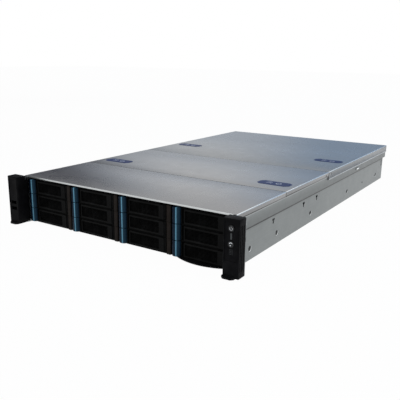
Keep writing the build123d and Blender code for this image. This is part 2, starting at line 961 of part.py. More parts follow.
def make_rear_panel():
    """The rear wall, the frame round the power supplies, and the partition and shelf of their bay."""
    side = rail_inner - panel_gap
    wide = band_inner - panel_gap
    high = wall_top_z - panel_gap
    frame_top = psu_low_z + psu_pitch + psu_height + psu_window_gap
    frame_left = psu_wall_x + psu_wall
    step = side_step_z + sheet + panel_gap
    shelf_z = psu_low_z + psu_height + (psu_row_gap - psu_shelf) / 2
    pieces = [
        panel_plate(),
        block(frame_left, wide, panel_front_y, rear_y, frame_top, high),
        block(rail_inner, wide, panel_front_y, rear_y, step, frame_top),
        block(psu_wall_x, frame_left, psu_bay_y, panel_front_y, sheet, high),
        block(frame_left, side, psu_bay_y, panel_front_y, shelf_z, shelf_z + psu_shelf),
    ]
    return separate(pieces)


def psu_grip(z0):
    """The pull grip: a flat loop that stands out to the rear."""
    left = psu_left_x + grip_from_left
    right = left + grip_width
    end = psu_back_y + grip_reach
    z = z0 + grip_lift
    grip = block(left, right, psu_back_y - join, end, z, z + grip_height)
    low = z - overcut
    high = z + grip_height + overcut
    return grip - block(left + grip_bar, right - grip_bar, psu_back_y - overcut, end - grip_bar, low, high)


def make_psu(level):
    """A slide-in power supply with its inlet, its grille and its pull grip."""
    z0 = psu_low_z + level * psu_pitch
    end = psu_back_y + overcut
    body = block(psu_left_x, psu_right_x, psu_front_y, psu_back_y, z0, z0 + psu_height)
    body = chamfer(body.edges().filter_by(Axis.Y), psu_chamfer)
    x = psu_left_x + inlet_from_left
    z = z0 + inlet_lift
    body -= block(x, x + inlet_width, psu_back_y - inlet_depth, end, z, z + inlet_height)
    x = psu_left_x + grille_from_left
    pitch = (psu_height - 2 * grille_margin + grille_slot_height) / grille_slots
    for i in range(grille_slots):
        z = z0 + grille_margin + i * pitch
        body -= block(x, x + grille_slot_width, psu_back_y - grille_depth, end, z, z + grille_slot_height)
    body += psu_grip(z0)
    latch_x = psu_right_x - latch_width - latch_inset
    z = z0 + psu_height / 2
    half = latch_height / 2 + button_gap
    left = latch_x - latch_travel - button_gap
    front = psu_back_y - latch_tail - button_gap
    return body - block(left, psu_right_x + overcut, front, end, z - half, z + half)


def make_psu_latch(level):
    """The release tab: a flat tail in its pocket, and a thumb piece to the rear."""
    z = psu_low_z + level * psu_pitch + psu_height / 2
    x0 = psu_right_x - latch_width - latch_inset
    x1 = x0 + latch_width
    y0 = psu_back_y - latch_tail
    y1 = psu_back_y + latch_reach
    outline = [
        (x0, y0),
        (x1, y0),
        (x1, y1 - latch_tip),
        (x1 - latch_hook, y1),
        (x0 - latch_hook, y1),
        (x0, y1 - latch_tip - latch_hook),
    ]
    return along_z(outline, z - latch_height / 2, z + latch_height / 2)


def ear_lip():
    """The foot lip that stands out in front of an ear, its corners bevelled."""
    left = ear_inner_x + ear_lip_inset
    right = ear_inner_x + ear_lip_width
    front = ear_front_y - ear_lip_reach
    back = ear_front_y + ear_lip_bevel
    outline = [
        (left, back),
        (left, front + ear_lip_bevel),
        (left + ear_lip_bevel, front),
        (right - ear_lip_bevel, front),
        (right, front + ear_lip_bevel),
        (right, back),
    ]
    return along_z(outline, ear_low_z, ear_low_z + ear_lip_height)


def ear_block():
    """The right ear without its fittings: a bevelled block, side grooves, foot lip and liner."""
    body = block(ear_inner_x, flange_half, ear_front_y, ear_back_y, ear_low_z, ear_high_z)
    front = body.faces().sort_by(Axis.Y)[0]
    body = chamfer(front.edges(), ear_chamfer)
    body += ear_lip()
    x0 = flange_half - groove_depth
    for i in range(grooves):
        y = ear_back_y - groove_from_back - i * groove_pitch
        low = ear_low_z + groove_end
        body -= block(x0, flange_half + overcut, y - groove_width, y, low, ear_high_z - groove_end)
    left = ear_inner_x + face_margin
    right = flange_half - face_margin
    top = ear_high_z - face_top_margin
    body -= block(left, right, ear_front_y - overcut, face_floor_y, face_low_z, top)
    liner_end = bezel_front_y - ear_liner_gap
    liner_top = bay_top_z - ear_liner_drop
    body += block(ear_inner_x, ear_inner_x + ear_liner, ear_back_y - join, liner_end, first_row_z, liner_top)
    start = ear_back_y - rack_hole_depth
    return body - rod(rack_hole_x, start, rack_hole_z, rack_hole_radius, rack_hole_depth + overcut, "y")


def round_button(z):
    """A round push button whose rim stands a little proud of the ear's face."""
    start = face_floor_y - round_button_proud
    return rod(ear_middle_x, start, z, round_button_radius, round_button_length, "y")


def make_right_ear():
    ear = ear_block()
    end = face_floor_y - round_button_proud + round_button_length + round_button_travel + button_gap
    start = ear_front_y - overcut
    for z in (power_z, uid_z):
        ear -= rod(ear_middle_x, start, z, round_button_radius + button_gap, end - start, "y")
    return ear


def make_left_ear():
    ear = mirror(ear_block(), Plane.YZ)
    half_width = front_usb_width / 2
    half_height = front_usb_height / 2
    start = ear_front_y - overcut
    end = face_floor_y + front_usb_depth
    for z in front_usb_zs:
        x0 = -ear_middle_x - half_width
        x1 = -ear_middle_x + half_width
        ear -= block(x0, x1, start, end, z - half_height, z + half_height)
    return ear


def make_info_tag():
    """A thin plate that slides under the bays, its front edge a curved lip."""
    left = tag_left_x
    right = tag_right_x
    front = tag_front_y
    arc = ThreePointArc((left, front), ((left + right) / 2, front - tag_bulge), (right, front))
    back = Polyline((right, front), (right, tag_back_y), (left, tag_back_y), (left, front))
    plate = extrude(Plane.XY.offset(sheet + tag_lift) * make_face([arc, back]), amount=tag_thickness)
    close = Line((right, front), (left, front))
    lip = extrude(Plane.XY.offset(tag_lip_drop) * make_face([arc, close]), amount=tag_lip_height)
    return plate + lip


def screw_head(x, y, z):
    head = rod(x, y, z, screw_head_radius, screw_head_height, "y")
    return chamfer(head.edges().sort_by(Axis.Y)[-1], screw_bevel)


def make_screws():
    """Pan head screws of the ears, seen behind the flanges, and of the rear panel."""
    x = flange_half - ear_screw_from_edge
    heads = [screw_head(side * x, 0, z) for side in (-1, 1) for z in ear_screw_zs]
    between = first_card_x - panel_screw_from_card
    places = [
        (panel_screw_inset - rail_inner, panel_screw_side_z),
        (between, panel_screw_end),
        (between, body_height - panel_screw_end - sheet),
        (psu_left_x - panel_screw_from_psu, panel_screw_psu_z),
    ]
    heads += [screw_head(x, rear_y, z) for x, z in places]
    return separate(heads)


def save(shape, node):
    """Writes one node, moved so that the origin is midway between the rack holes."""
    export_step(Pos(0, 0, -rack_hole_z) * shape, os.path.join("parts", node + ".step"))


def save_bays():
    """Twelve carriers with their levers and release bars, numbered along each row from the top."""
    tray = make_tray()
    lever = make_lever()
    button = make_release_button()
    for row in range(rows):
        for column in range(columns):
            number = "%02d" % ((rows - 1 - row) * columns + column + 1)
            place = Pos(column_left(column) + bezel_edge_gap, 0, first_row_z + row * row_pitch)
            save(place * tray, "tray_" + number)
            save(place * lever, "lever_" + number)
            save(place * button, "release_button_" + number)


def main():
    os.makedirs("parts", exist_ok=True)
    save(make_chassis_base(), "chassis_base")
    save(make_rear_panel(), "rear_panel")
    save(make_front_top_cover(), "front_top_cover")
    save(make_middle_cover(), "middle_cover")
    save(make_rear_cover(), "rear_cover")
    save(make_drive_cage(), "drive_cage")
    save(make_backplane(), "backplane")
    save(make_fan_wall(), "fan_wall")
    save(separate([make_fan_frame(number) for number in range(columns)]), "fan_frames")
    for number in range(columns):
        save(make_fan_rotor(number), "fan_rotor_%d" % (number + 1))
    save(make_motherboard(), "motherboard")
    for level in range(2):
        save(make_psu(level), "psu_%d" % (level + 1))
        save(make_psu_latch(level), "psu_latch_%d" % (level + 1))
    save(make_left_ear(), "left_ear")
    save(make_right_ear(), "right_ear")
    save(round_button(power_z), "power_button")
    save(round_button(uid_z), "uid_button")
    save(make_info_tag(), "info_tag")
    save(make_screws(), "screws")
    save_bays()


main()
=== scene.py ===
import json
import math

import bmesh
import bpy
from mathutils import Matrix, Vector

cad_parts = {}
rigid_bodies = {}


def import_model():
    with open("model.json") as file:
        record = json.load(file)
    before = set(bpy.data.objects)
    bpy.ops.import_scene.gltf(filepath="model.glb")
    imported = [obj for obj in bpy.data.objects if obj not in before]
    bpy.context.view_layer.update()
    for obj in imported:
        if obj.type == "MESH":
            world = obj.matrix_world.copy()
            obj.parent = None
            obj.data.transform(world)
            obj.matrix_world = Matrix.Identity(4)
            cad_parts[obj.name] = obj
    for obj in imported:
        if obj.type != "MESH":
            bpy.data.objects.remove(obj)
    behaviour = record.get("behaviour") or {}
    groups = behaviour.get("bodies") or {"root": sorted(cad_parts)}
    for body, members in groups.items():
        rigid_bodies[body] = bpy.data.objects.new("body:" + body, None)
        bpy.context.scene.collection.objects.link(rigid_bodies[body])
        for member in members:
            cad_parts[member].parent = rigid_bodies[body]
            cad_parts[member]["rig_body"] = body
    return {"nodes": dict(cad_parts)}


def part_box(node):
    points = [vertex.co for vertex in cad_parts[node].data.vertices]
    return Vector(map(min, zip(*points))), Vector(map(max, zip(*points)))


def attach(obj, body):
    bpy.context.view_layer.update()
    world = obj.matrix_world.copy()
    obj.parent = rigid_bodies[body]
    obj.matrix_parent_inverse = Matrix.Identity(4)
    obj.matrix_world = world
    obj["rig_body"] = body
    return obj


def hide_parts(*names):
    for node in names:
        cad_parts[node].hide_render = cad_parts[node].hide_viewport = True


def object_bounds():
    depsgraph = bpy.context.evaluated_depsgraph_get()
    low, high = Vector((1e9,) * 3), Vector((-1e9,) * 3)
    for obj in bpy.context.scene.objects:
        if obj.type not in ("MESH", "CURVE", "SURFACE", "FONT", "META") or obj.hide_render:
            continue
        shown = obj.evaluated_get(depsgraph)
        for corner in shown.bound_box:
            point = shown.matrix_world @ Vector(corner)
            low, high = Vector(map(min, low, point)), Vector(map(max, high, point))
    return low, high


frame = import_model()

cad_low, cad_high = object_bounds()
nodes = frame["nodes"]

# Sizes are written in millimetres and turned into metres by mm
mm = 0.001

# Camera, in the row frame, from the outline of the object in the photograph
camera_place = (578.03, -637.56, 256.32)
camera_right = (0.83704, 0.54701, 0.01189)
camera_up = (-0.14856, 0.20630, 0.96714)
camera_forward = (-0.52659, 0.81131, -0.25395)
camera_lens = 48.885

# Edge rounding of the pieces that copy a CAD shape
sheet_edge = 0.12 * mm
cover_edge = 0.3 * mm
edge_reach = 2.0 * mm
plastic_edge = 0.25 * mm

# Release bars
bar_end_bevel = 0.7 * mm
bar_arc_points = 14
bar_depth_to_edge = 5.0 * mm
# Painted highlight across a bar: places across its width and shares from its dark tone to the pale line
bar_painted_highlight_stops = ((0.0, 0.0), (0.53, 0.02), (0.6, 0.85), (0.66, 1.0), (0.71, 0.12), (0.9, 0.06), (1.0, 0.02))

# The smooth band at the right end of a bezel
band_width = 8.2 * mm
band_depth = 1.0 * mm

# Levers
lever_plate = 4.2 * mm
lever_round = 1.2 * mm
lever_frame = 2.6 * mm
lever_frame_right = 9.5 * mm
lever_frame_left = 2.0 * mm
lever_slats = 9
lever_slat = 1.0 * mm
lever_slat_bevel = 0.15 * mm
lever_posts = 7
lever_post = 0.8 * mm
lever_post_back = (0.6 * mm, 0.5 * mm)
lever_mesh_depth = 1.2 * mm
lever_mesh_thick = 1.4 * mm
lever_overlap = 0.3 * mm
lever_bevel = 0.35 * mm
lever_soft = 0.3 * mm
lever_inset = 1.6 * mm
lever_right_gap = 3.0 * mm
lever_barrel = 3.0 * mm
lever_pin = 1.5 * mm
lever_hinge_behind = 0.2 * mm
lever_hook = 2.2 * mm
lever_hook_inset = 0.4 * mm
lever_grip_left = 1.0 * mm
lever_grip_inset = 3.0 * mm
lever_grip_depths = (-0.5 * mm, 0.4 * mm)

# Studio flag, its turns in degrees left of straight back and its shares of the height
flag_distance = 3.2
flag_height = 1.6
flag_start = -60
flag_end = 110
flag_turns = (30, 51)
veil_turns = (32, 12)
veil_share = 0.85
flag_rises = (0.1, 0.75)
flag_low_share = 0.6

# Heights on the sides, down from the top of the covers, where lines of painted shade and painted highlight
# go
short_flange = 9.0 * mm
deep_flange = 16.0 * mm
hem_height = 2.0 * mm
side_step = 30.0 * mm
side_recess = 6.5 * mm
painted_line_width = 1.6 * mm
step_shadow = 4.6 * mm
shade_margin = 0.2 * mm

# Rims of the holes of the recessed sides: painted highlight crescents about them, and dimples painted dark
# as shade
hole_height = 19.5 * mm
hole_ys = (59.0 * mm, 154.0 * mm, 300.0 * mm, 511.0 * mm, 728.5 * mm)
hole_radius = 2.6 * mm
dimple_radius = 4.2 * mm
rim_radius = 4.9 * mm
rim_width = 1.3 * mm
rim_proud = 0.15 * mm
rim_sink = 0.05 * mm
rim_turns = (-125, 45)
rim_steps = 12
collar_sink = 0.3 * mm
round_steps = 24

# Rivet and rear slot of the sides, painted dark as shade
rivet_y = 620.0 * mm
rivet_radius = 2.4 * mm
rivet_proud = 0.6 * mm
slot_y = 774.0 * mm
slot_drop = 13.5 * mm
slot_size = (3.0 * mm, 14.0 * mm)
slot_rim = (5.6 * mm, 16.6 * mm)
slot_corner = 0.3 * mm

# Pressed tab of the sides, painted bright as a highlight
tab_y = 555.0 * mm
tab_drop = 23.0 * mm
tab_face = (15.0 * mm, 3.2 * mm)
tab_bevel = 0.08 * mm

# Main board, from its lowest point to just above its sheet, and the reach of its rear ports
board_top = 8.2 * mm
port_reach = 21.5 * mm

# Touch pads
pad_x = 180.0 * mm
pad_length = 62.0 * mm
pad_width = 28.0 * mm
pad_end_width = 14.0 * mm
pad_ys = {"middle_cover": 216.0 * mm, "rear_cover": 483.0 * mm}
pad_proud = 0.3 * mm
pad_sunk = 0.5 * mm
pad_bevel = 0.2 * mm
pad_mark_lift = 0.02 * mm
pad_mark_sink = 0.1 * mm
pad_ring_right = 8.0 * mm
pad_ring_radii = (5.2 * mm, 3.8 * mm)
chevron_left = 10.0 * mm
chevron_front = 4.0 * mm
chevron_step = 6.0 * mm
chevron_arm = 5.0 * mm
chevron_rise = 3.5 * mm
chevron_line = 1.5 * mm

# Marks on the ears: a plain power mark, and an arc and dot of painted highlight on the lower button
button_mark_radius = 2.8 * mm
button_mark_line = 0.9 * mm
button_mark_proud = 0.02 * mm
button_mark_depth = 0.15 * mm
power_arc = (150, 390)
power_bar_rise = 1.4 * mm
power_bar_length = 2.6 * mm
uid_highlight_arc = (25, 165)
glint_dot = 1.5 * mm
glint_dot_left = 0.6 * mm
glint_dot_drop = 1.7 * mm
face_behind_buttons = 0.7 * mm
lamp_width = 2.6 * mm
lamp_height = 9.0 * mm
tile_depth = 0.2 * mm
tile_bevel = 0.06 * mm
dot_rows = 4
dot_columns = 3
dot_pitch = 2.2 * mm
dot_size = 0.9 * mm
dots_drop = 8.0 * mm

# Floor, world and lamps; a lamp has a place, a point it aims at, a size and a power in watts
floor_reach = 12.0
floor_below = 0.0002
floor_white_share = 0.97
world_ambient = 0.62
lamps = {
    "key": ((0.7, -0.3, 1.5), (0.1, 0.1, 0.0), (1.0, 1.0), 5),
    "side": ((2.2, 0.6, 0.7), (0.2, 0.4, 0.0), (1.6, 0.9), 6),
    "strip": ((-0.2, -2.0, 0.35), (0.0, 0.0, 0.1), (0.8, 0.9), 3),
}


# Node helpers

def new_material(name, color, roughness, metallic=0.0):
    """A Principled material. Uniform values sit on the shader's own sockets."""
    material = bpy.data.materials.new(name)
    material.use_nodes = True
    shader = material.node_tree.nodes["Principled BSDF"]
    shader.inputs["Base Color"].default_value = (*color, 1)
    shader.inputs["Roughness"].default_value = roughness
    shader.inputs["Metallic"].default_value = metallic
    return material, shader


def add(material, kind, **values):
    node = material.node_tree.nodes.new(kind)
    for key, value in values.items():
        if hasattr(node, key):
            setattr(node, key, value)
        else:
            node.inputs[key.replace("_", " ").title()].default_value = value
    return node


def join(material, out_socket, in_socket):
    material.node_tree.links.new(out_socket, in_socket)


def object_space(material, scale):
    """Object coordinates, stretched by a scale along each axis."""
    coordinates = add(material, "ShaderNodeTexCoord")
    mapping = add(material, "ShaderNodeMapping")
    mapping.inputs["Scale"].default_value = scale
    join(material, coordinates.outputs["Object"], mapping.inputs["Vector"])
    return mapping.outputs["Vector"]


def object_axes(material):
    """Object coordinates, split into X, Y and Z."""
    coordinates = add(material, "ShaderNodeTexCoord")
    split = add(material, "ShaderNodeSeparateXYZ")
    join(material, coordinates.outputs["Object"], split.inputs["Vector"])
    return split.outputs


def noise(material, scale, detail=3.0, stretch=(1, 1, 1)):
    texture = add(material, "ShaderNodeTexNoise", scale=scale, detail=detail)
    join(material, object_space(material, stretch), texture.inputs["Vector"])
    return texture.outputs["Fac"]


def ramp(material, factor, low, high, start=0.3, end=0.7):
    """Turns a factor into a colour between two colours."""
    node = add(material, "ShaderNodeValToRGB")
    node.color_ramp.elements[0].position = start
    node.color_ramp.elements[0].color = (*low, 1)
    node.color_ramp.elements[1].position = end
    node.color_ramp.elements[1].color = (*high, 1)
    join(material, factor, node.inputs["Fac"])
    return node.outputs["Color"]


def many_ramp(material, factor, stops):
    """Turns a factor into a colour by any number of stops, each a place and a colour."""
    node = add(material, "ShaderNodeValToRGB")
    elements = node.color_ramp.elements
    while len(elements) < len(stops):
        elements.new(0.5)
    for element, (place, color) in zip(elements, stops):
        element.position = place
        element.color = (*color, 1)
    join(material, factor, node.inputs["Fac"])
    return node.outputs["Color"]


def between(material, value, low, high):
    """Where a value lies between low and high, as a factor from 0 to 1."""
    node = add(material, "ShaderNodeMapRange")
    node.inputs["From Min"].default_value = low
    node.inputs["From Max"].default_value = high
    join(material, value, node.inputs["Value"])
    return node.outputs["Result"]


def greater(material, value, limit):
    """1 where a value is above a limit, and otherwise 0."""
    node = add(material, "ShaderNodeMath", operation="GREATER_THAN")
    node.inputs[1].default_value = limit
    join(material, value, node.inputs[0])
    return node.outputs["Value"]


def spread(material, factor, low, high):
    """Turns a factor from 0 to 1 into a number between low and high."""
    node = add(material, "ShaderNodeMapRange")
    node.inputs["To Min"].default_value = low
    node.inputs["To Max"].default_value = high
    join(material, factor, node.inputs["Value"])
    return node.outputs["Result"]


def multiply(material, first, second, share=1.0):
    node = add(material, "ShaderNodeMix", data_type="RGBA", blend_type="MULTIPLY")
    node.inputs["Factor"].default_value = share
    join(material, first, node.inputs["A"])
    join(material, second, node.inputs["B"])
    return node.outputs["Result"]


def bump(material, shader, height, strength, distance):
    node = add(material, "ShaderNodeBump")
    node.inputs["Strength"].default_value = strength
    node.inputs["Distance"].default_value = distance
    join(material, height, node.inputs["Height"])
    join(material, node.outputs["Normal"], shader.inputs["Normal"])


# Materials

def sheet_metal(name, color, grain, roughness, spangle=0.06, relief=0.08):
    """Zinc plated sheet: a fine grain, faint spangles, and soft patches of tone."""
    material, shader = new_material(name, color, roughness, metallic=0.9)
    bright = [min(1.0, c * 1.03) for c in color]
    dark = [c * 0.97 for c in color]
    patches = ramp(material, noise(material, 5.0, 1.0), dark, bright, 0.2, 0.8)
    cells = add(material, "ShaderNodeTexVoronoi", scale=140.0)
    join(material, object_space(material, (1, 1, 1)), cells.inputs["Vector"])
    flakes = ramp(material, cells.outputs["Color"], (1 - spangle,) * 3, (1, 1, 1), 0.0, 1.0)
    lines = ramp(material, noise(material, 1.0, 4.0, grain), (0.93,) * 3, (1, 1, 1))
    tone = multiply(material, multiply(material, patches, flakes), lines)
    join(material, tone, shader.inputs["Base Color"])
    rough = spread(material, noise(material, 40.0, 3.0), roughness - 0.05, roughness + 0.07)
    join(material, rough, shader.inputs["Roughness"])
    bump(material, shader, noise(material, 1.0, 4.0, grain), relief, 0.0001)
    return material


def moulded_plastic(name, color, roughness, texture_scale=1800.0, strength=0.25, shine=0.04):
    """Spark-eroded black plastic, with a fine grain and slightly paler worn patches."""
    material, shader = new_material(name, color, roughness)
    shader.inputs["Specular IOR Level"].default_value = shine
    worn = [c * 1.5 + 0.004 for c in color]
    tone = ramp(material, noise(material, 60.0, 5.0), color, worn, 0.45, 0.8)
    join(material, tone, shader.inputs["Base Color"])
    rough = spread(material, noise(material, 180.0, 4.0), roughness - 0.06, roughness + 0.1)
    join(material, rough, shader.inputs["Roughness"])
    bump(material, shader, noise(material, texture_scale, 2.0), strength, 0.00006)
    return material


def glossy_plastic(name, color, roughness, shine=0.2):
    """Smooth tinted plastic with a very slight orange peel."""
    material, shader = new_material(name, color, roughness)
    shader.inputs["Specular IOR Level"].default_value = shine
    deep = [c * 0.82 for c in color]
    join(material, ramp(material, noise(material, 35.0, 3.0), deep, color), shader.inputs["Base Color"])
    rough = spread(material, noise(material, 300.0, 3.0), roughness - 0.04, roughness + 0.06)
    join(material, rough, shader.inputs["Roughness"])
    bump(material, shader, noise(material, 500.0, 2.0), 0.05, 0.00005)
    return material


def plastic_with_painted_highlight(name, color, highlight_color):
    """Dark tinted plastic with a painted highlight: a paler line from end to end, a little right of the
    middle, and painted shade darkest at the left.
    """
    material = glossy_plastic(name, color, 0.3, shine=0.07)
    shader = material.node_tree.nodes["Principled BSDF"]
    shader.inputs["Specular Tint"].default_value = (0.45, 0.8, 1.0, 1)
    stops = []
    for place, share in bar_painted_highlight_stops:
        stops.append((place, [dark + (pale - dark) * share for dark, pale in zip(color, highlight_color)]))
    across = between(material, object_axes(material)["X"], 0.0, bar_width)
    join(material, many_ramp(material, across, stops), shader.inputs["Base Color"])
    return material


def paint_light_by_height(material, stops, beyond):
    """Paints shade and highlight into a sheet's tone: multiplies it by shares at heights, where it lies
    beyond a distance from the middle.
    """
    shader = material.node_tree.nodes["Principled BSDF"]
    tone = shader.inputs["Base Color"].links[0].from_socket
    axes = object_axes(material)
    low, high = stops[0][0], stops[-1][0]
    grey_stops = [((z - low) / (high - low), (share,) * 3) for z, share in stops]
    shares = many_ramp(material, between(material, axes["Z"], low, high), grey_stops)
    across = add(material, "ShaderNodeMath", operation="ABSOLUTE")
    join(material, axes["X"], across.inputs[0])
    node = add(material, "ShaderNodeMix", data_type="RGBA", blend_type="MULTIPLY")
    join(material, greater(material, across.outputs["Value"], beyond), node.inputs["Factor"])
    join(material, tone, node.inputs["A"])
    join(material, shares, node.inputs["B"])
    join(material, node.outputs["Result"], shader.inputs["Base Color"])


def board_material():
    """Green board, with dark sockets standing on it and plated shells on the ports at its rear end."""
    material, shader = new_material("board_parts", (0.02, 0.09, 0.05), 0.45)
    low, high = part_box("motherboard")
    axes = object_axes(material)

    def mixed(factor, first, second):
        node = add(material, "ShaderNodeMix", data_type="RGBA")
        join(material, factor, node.inputs["Factor"])
        join(material, first, node.inputs["A"])
        node.inputs["B"].default_value = (*second, 1)
        return node.outputs["Result"]

    green = ramp(material, noise(material, 60.0, 5.0), (0.016, 0.075, 0.04), (0.03, 0.12, 0.07))
    standing = greater(material, axes["Z"], low.z + board_top)
    ported = add(material, "ShaderNodeMath", operation="MULTIPLY")
    join(material, standing, ported.inputs[0])
    join(material, greater(material, axes["Y"], high.y - port_reach), ported.inputs[1])
    sockets = mixed(standing, green, (0.012, 0.012, 0.013))
    tone = mixed(ported.outputs["Value"], sockets, (0.5, 0.51, 0.5))
    join(material, tone, shader.inputs["Base Color"])
    join(material, spread(material, ported.outputs["Value"], 0.0, 0.9), shader.inputs["Metallic"])
    rough = spread(material, noise(material, 180.0, 4.0), 0.35, 0.5)
    join(material, rough, shader.inputs["Roughness"])
    return material


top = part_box("front_top_cover")[1].z
bar_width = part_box("release_button_01")[1].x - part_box("release_button_01")[0].x
cover_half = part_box("front_top_cover")[1].x
rail_half = cover_half - side_recess
lengthwise = (900.0, 6.0, 900.0)
crosswise = (6.0, 900.0, 900.0)
zinc = sheet_metal("zinc_sheet", (0.26, 0.275, 0.275), lengthwise, 0.38)
side_zinc = sheet_metal("side_sheet", (0.235, 0.252, 0.252), lengthwise, 0.36)
# The cage sheet is painted dark as the shade inside the chassis
cage_zinc_painted_shade = sheet_metal("cage_sheet_painted_shade", (0.10, 0.105, 0.105), crosswise, 0.5)
covers = {
    "front_top_cover": sheet_metal("front_cover_sheet", (0.282, 0.282, 0.287), lengthwise, 0.27, 0.01, 0.02),
    "middle_cover": sheet_metal("middle_cover_sheet", (0.29, 0.292, 0.295), lengthwise, 0.28, 0.01, 0.02),
    "rear_cover": sheet_metal("rear_cover_sheet", (0.24, 0.252, 0.262), lengthwise, 0.28, 0.01, 0.02),
}
# Painted shade: a dark line near the bottom of the short flanges. Painted highlight: a bright band on the
# rear cover's hem, with painted shade below it.
flange_painted_shade = [
    (0.0, 1.0), (0.4 * painted_line_width, 0.2), (painted_line_width, 0.3), (1.6 * painted_line_width, 0.92), (short_flange, 0.98),
]
hem_painted_highlight_and_shade = [
    (0.0, 1.7), (hem_height, 1.7), (hem_height + 0.4 * mm, 0.6), (2 * hem_height, 0.85), (deep_flange, 0.95),
]
for node, material in covers.items():
    drop, line = (deep_flange, hem_painted_highlight_and_shade) if node == "rear_cover" else (short_flange, flange_painted_shade)
    paint_light_by_height(material, [(top - drop + z, share) for z, share in line], cover_half - shade_margin)
# Painted shade below the step and on the band above it, and a painted highlight just under the short flanges
step_painted_shade_and_highlight = (
    (-side_step - 2 * step_shadow, 1.0), (-side_step - 1.1 * step_shadow, 0.9),
    (-side_step - step_shadow, 0.2), (-side_step + 0.3 * painted_line_width, 0.3),
    (-side_step + painted_line_width, 0.72), (-deep_flange - 4 * mm, 0.8),
    (-short_flange - 1.5 * painted_line_width, 1.0), (-short_flange - painted_line_width, 1.6),
    (-short_flange, 1.6), (0.0, 0.5),
)
paint_light_by_height(side_zinc, [(top + z, share) for z, share in step_painted_shade_and_highlight], rail_half - shade_margin)
# A dark sheet for painted shade, a pale one for the painted highlight on the first cover's front lip, and a
# paler one for painted highlights on bends, hole rims and tabs
painted_shade_sheet = sheet_metal("painted_shade_sheet", (0.03, 0.03, 0.032), lengthwise, 0.5)
painted_highlight_lip = sheet_metal("painted_highlight_lip", (0.6, 0.62, 0.62), lengthwise, 0.30)
painted_highlight_sheet = sheet_metal("painted_highlight_sheet", (0.85, 0.88, 0.88), lengthwise, 0.25)
black = moulded_plastic("black_plastic", (0.0025, 0.0025, 0.003), 0.5)
lever_black = moulded_plastic("lever_plastic", (0.004, 0.004, 0.004), 0.5)
# The lever's grid is the same moulding as its frame, painted darker as shade
grid_black_painted_shade = moulded_plastic("lever_grid_painted_shade", (0.0025, 0.0025, 0.0025), 0.6, shine=0.02)
bezel_black = moulded_plastic("bezel_plastic", (0.002, 0.002, 0.002), 0.55, shine=0.02)
band_brown = moulded_plastic("band_plastic", (0.009, 0.006, 0.0045), 0.45, shine=0.08)
# The bar's tone carries a painted highlight line
blue = plastic_with_painted_highlight("bar_blue", (0.0006, 0.004, 0.014), (0.15, 0.34, 0.46))
board_parts = board_material()
pad_blue = glossy_plastic("pad_blue", (0.014, 0.032, 0.12), 0.42, shine=0.08)
pad_mark = moulded_plastic("pad_mark", (0.56, 0.6, 0.7), 0.5)
button_grey = glossy_plastic("button_grey", (0.02, 0.02, 0.021), 0.25)
board_green = moulded_plastic("board_green", (0.02, 0.09, 0.05), 0.45)
psu_metal = sheet_metal("psu_sheet", (0.34, 0.35, 0.35), crosswise, 0.42)
latch_blue = moulded_plastic("latch_blue", (0.03, 0.12, 0.28), 0.45)
screw_metal = sheet_metal("screw_zinc", (0.6, 0.6, 0.58), (300, 300, 300), 0.28)
painted_highlight_white = moulded_plastic("painted_highlight_white", (0.8, 0.81, 0.81), 0.5)
mark_grey = moulded_plastic("mark_grey", (0.3, 0.3, 0.3), 0.5)
lamp_grey = moulded_plastic("lamp_grey", (0.06, 0.062, 0.062), 0.4)


# Mesh helpers

def to_mesh(name, bm, outward=False):
    """Turns a mesh being built into a finished one, if asked with its faces turned outward."""
    if outward:
        bmesh.ops.recalc_face_normals(bm, faces=bm.faces)
    mesh = bpy.data.meshes.new(name)
    bm.to_mesh(mesh)
    bm.free()
    return mesh


def finish_piece(name, mesh_or_bm, material, body, replaces=()):
    """Makes an object of a mesh, gives it its material and lets it ride on its body."""
    mesh = mesh_or_bm
    if isinstance(mesh_or_bm, bmesh.types.BMesh):
        mesh = to_mesh(name, mesh_or_bm, outward=True)
    if not mesh.materials:
        mesh.materials.append(material)
    piece = bpy.data.objects.new(name, mesh)
    bpy.context.scene.collection.objects.link(piece)
    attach(piece, body)
    for node in replaces:
        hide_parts(node)
    return piece


def shade_by_angle(mesh, degrees=35):
    """Smooth shading, with edges sharper than the angle kept sharp."""
    mesh.shade_smooth()
    mesh.set_sharp_from_angle(angle=math.radians(degrees))


def in_pad(point, x, y):
    """Whether a point lies in the outline of a touch pad."""
    reach = 0.01 * mm
    across, along = abs(point.x - x), abs(point.y - y)
    slope = pad_length / 2 + pad_end_width / 2
    within = across < pad_length / 2 + reach and along < pad_width / 2 + reach
    return within and across + along < slope + 2 * reach


def bevel_edges(bm, edges, width, segments=2, profile=0.5):
    bmesh.ops.bevel(
        bm, geom=edges, offset=width, segments=segments, profile=profile, affect="EDGES", clamp_overlap=True
    )


def dressed_mesh(node, width, segments=2, sharper_than=32):
    """A copy of a CAD node's mesh with its flat faces joined and its sharp edges rounded."""
    bm = bmesh.new()
    bm.from_mesh(nodes[node].data)
    for x in (-pad_x, pad_x):
        y = pad_ys.get(node, 0)
        inside = [f for f in bm.faces if node in pad_ys and all(in_pad(v.co, x, y) for v in f.verts)]
        bmesh.ops.delete(bm, geom=inside, context="FACES")
    bmesh.ops.remove_doubles(bm, verts=bm.verts, dist=1e-6)
    bmesh.ops.dissolve_limit(bm, angle_limit=math.radians(0.6), verts=bm.verts, edges=bm.edges)
    limit = math.radians(sharper_than)
    sharp = [e for e in bm.edges if e.is_manifold and e.calc_face_angle(0) > limit]
    bevel_edges(bm, sharp, width, segments, 0.6)
    mesh = to_mesh(node + "_dressed", bm)
    shade_by_angle(mesh)
    return mesh


def dress(node, width, material, segments=2):
    """Replaces a CAD node with its copy that has rounded edges."""
    body = nodes[node]["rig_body"]
    mesh = dressed_mesh(node, width, segments)
    mesh.materials.clear()
    return finish_piece(node + "_shape", mesh, material, body, [node])


